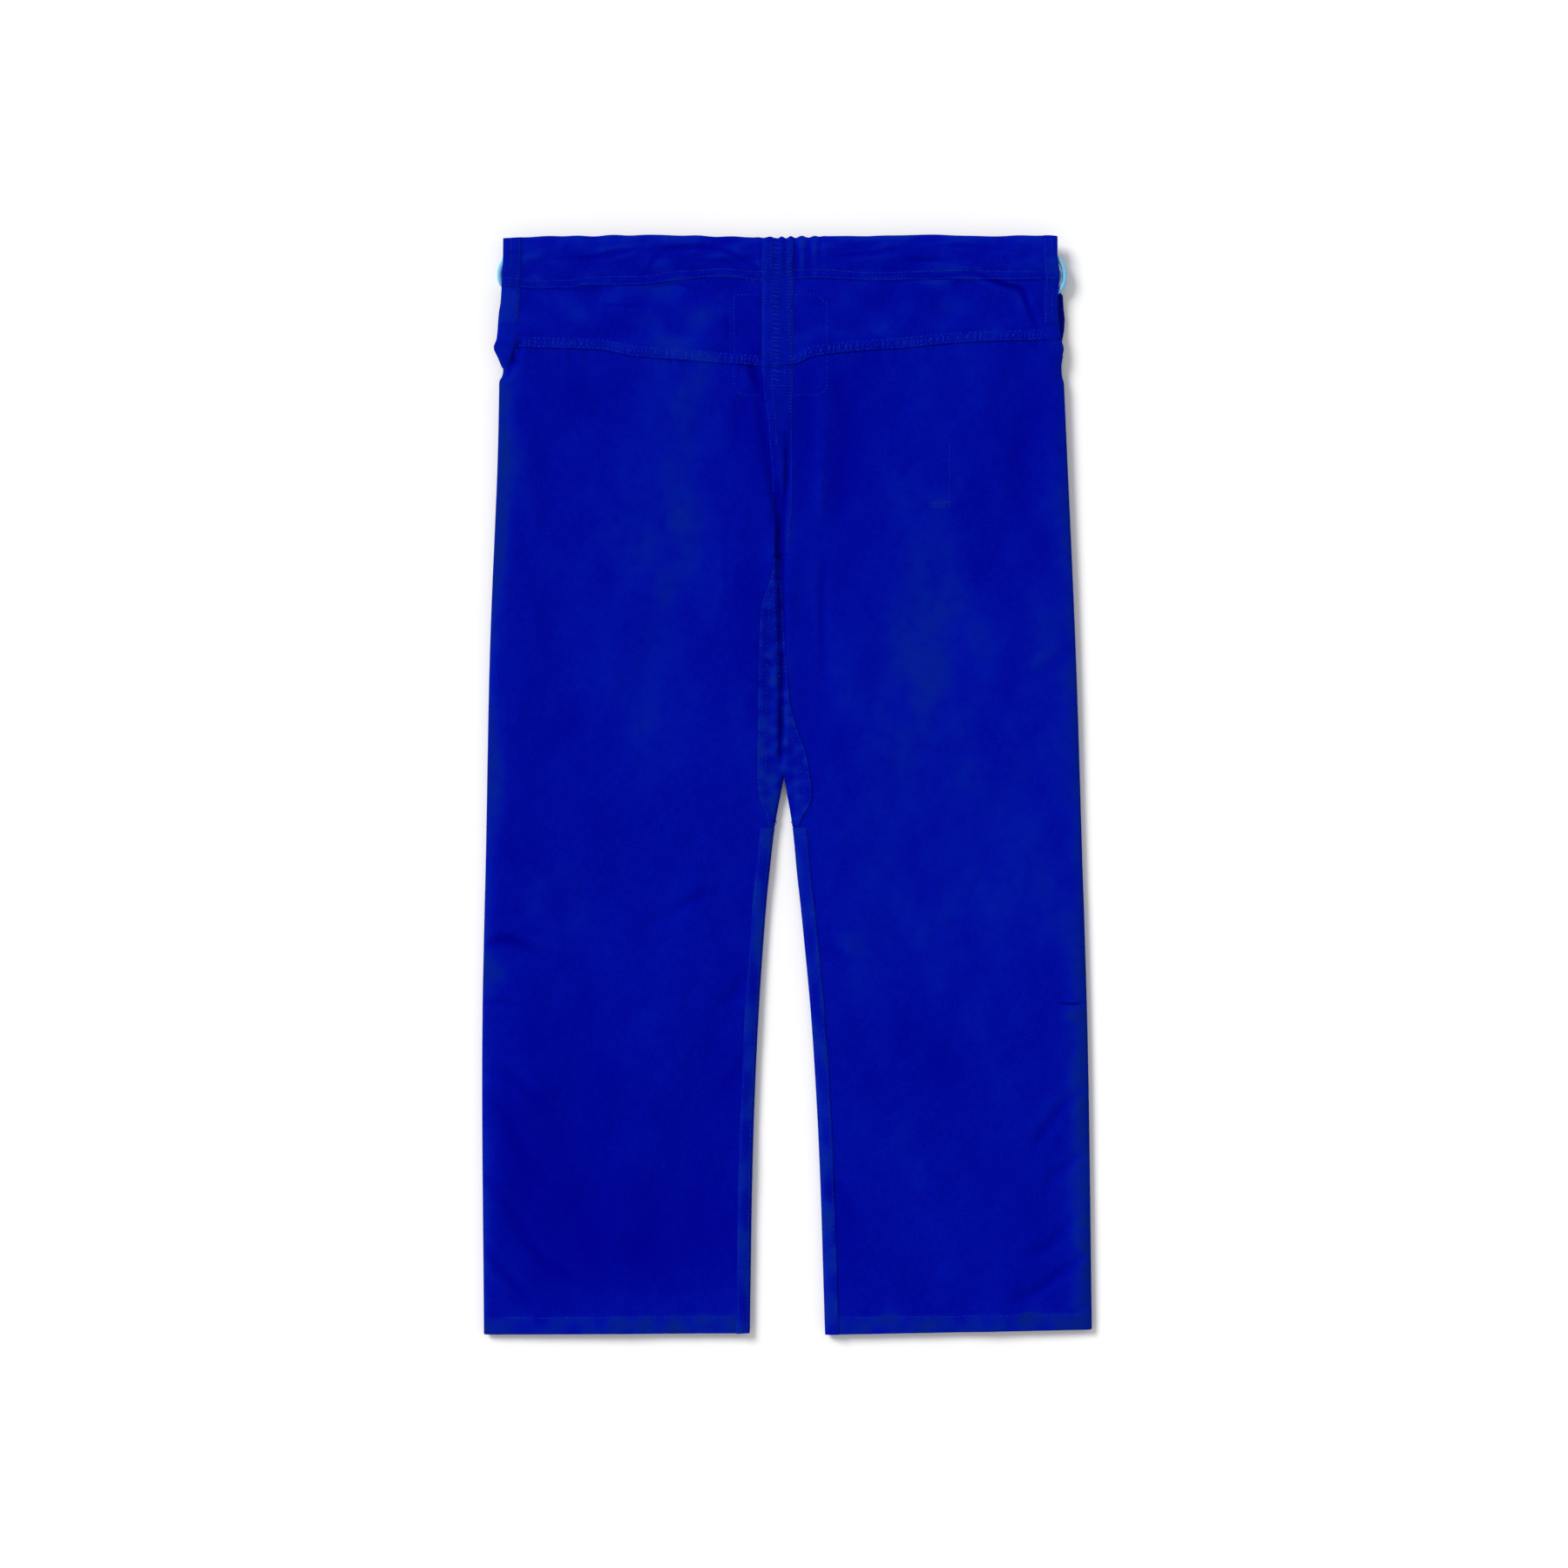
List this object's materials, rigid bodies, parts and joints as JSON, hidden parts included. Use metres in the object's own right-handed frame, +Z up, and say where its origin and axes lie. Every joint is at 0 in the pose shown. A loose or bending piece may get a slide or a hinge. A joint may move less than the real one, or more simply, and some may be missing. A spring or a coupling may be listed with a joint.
{
  "type": "martial arts drawstring trousers",
  "caption": "Loose cotton drill trousers of a grappling uniform, lying flat with the back upwards, with a drawstring in the waist casing and legs that fold up at the knee.",
  "frame": {"origin": "on the floor under the middle of the garment as it lies flat, back upwards", "axes": "+Z up from the floor, +Y from the hems to the waist, +X towards the wearer's right leg"},
  "size_m": [0.5453, 0.983, 0.0202],
  "materials": {
    "drill": "royal blue cotton drill, matte",
    "waist_casing": "royal blue cotton drill, double layer, matte",
    "reinforcement": "royal blue cotton drill, matte",
    "seam": "royal blue drill and tape, topstitched, matte",
    "drawstring": "light blue braided cord, soft",
    "cord_tip": "light blue shrunk sleeve, satin"
  },
  "bodies": {
    "upper": {"left_seat_panel": "drill", "right_seat_panel": "drill", "left_front_panel": "drill", "right_front_panel": "drill", "crotch_gusset": "drill", "left_back_casing": "waist_casing", "right_back_casing": "waist_casing", "left_front_casing": "waist_casing", "right_front_casing": "waist_casing", "left_back_yoke": "waist_casing", "right_back_yoke": "waist_casing", "seat_patch": "reinforcement", "left_knee_patch_upper": "reinforcement", "right_knee_patch_upper": "reinforcement", "thigh_patch": "reinforcement", "left_side_seam_upper": "seam", "right_side_seam_upper": "seam", "left_inseam_upper": "seam", "right_inseam_upper": "seam", "centre_back_tape": "seam", "centre_front_tape": "seam", "left_back_placket": "seam", "right_back_placket": "seam", "left_front_placket": "seam", "right_front_placket": "seam", "left_cord_loop": "seam", "right_cord_loop": "seam", "drawstring_back_run": "drawstring", "drawstring_left_run": "drawstring", "drawstring_right_run": "drawstring", "drawstring_left_tail": "drawstring", "drawstring_right_tail": "drawstring", "left_cord_tip": "cord_tip", "right_cord_tip": "cord_tip"},
    "left_lower_leg": {"left_calf_panel": "drill", "left_shin_panel": "drill", "left_knee_patch_lower": "reinforcement", "left_back_hem": "seam", "left_front_hem": "seam", "left_side_seam_lower": "seam", "left_inseam_lower": "seam"},
    "right_lower_leg": {"right_calf_panel": "drill", "right_shin_panel": "drill", "right_knee_patch_lower": "reinforcement", "right_back_hem": "seam", "right_front_hem": "seam", "right_side_seam_lower": "seam", "right_inseam_lower": "seam"},
    "left_hip_loop": {"drawstring_left_hip_loop": "drawstring"},
    "right_hip_loop": {"drawstring_right_hip_loop": "drawstring"}
  },
  "joints": [
    {"name": "left_leg_fold", "type": "hinge", "parent": "upper", "child": "left_lower_leg", "pos_m": [-0.143, -0.09, 0.0125], "axis": [-1, 0, 0], "range_deg": [0, 175]},
    {"name": "right_leg_fold", "type": "hinge", "parent": "upper", "child": "right_lower_leg", "pos_m": [0.1374, -0.09, 0.0125], "axis": [-1, 0, 0], "range_deg": [0, 175]},
    {"name": "left_loop_pull", "type": "slide", "parent": "upper", "child": "left_hip_loop", "axis": [-1, 0, 0], "range_m": [0, 0.05]},
    {"name": "right_loop_pull", "type": "slide", "parent": "upper", "child": "right_hip_loop", "axis": [1, 0, 0], "range_m": [0, 0.05]}
  ]
}
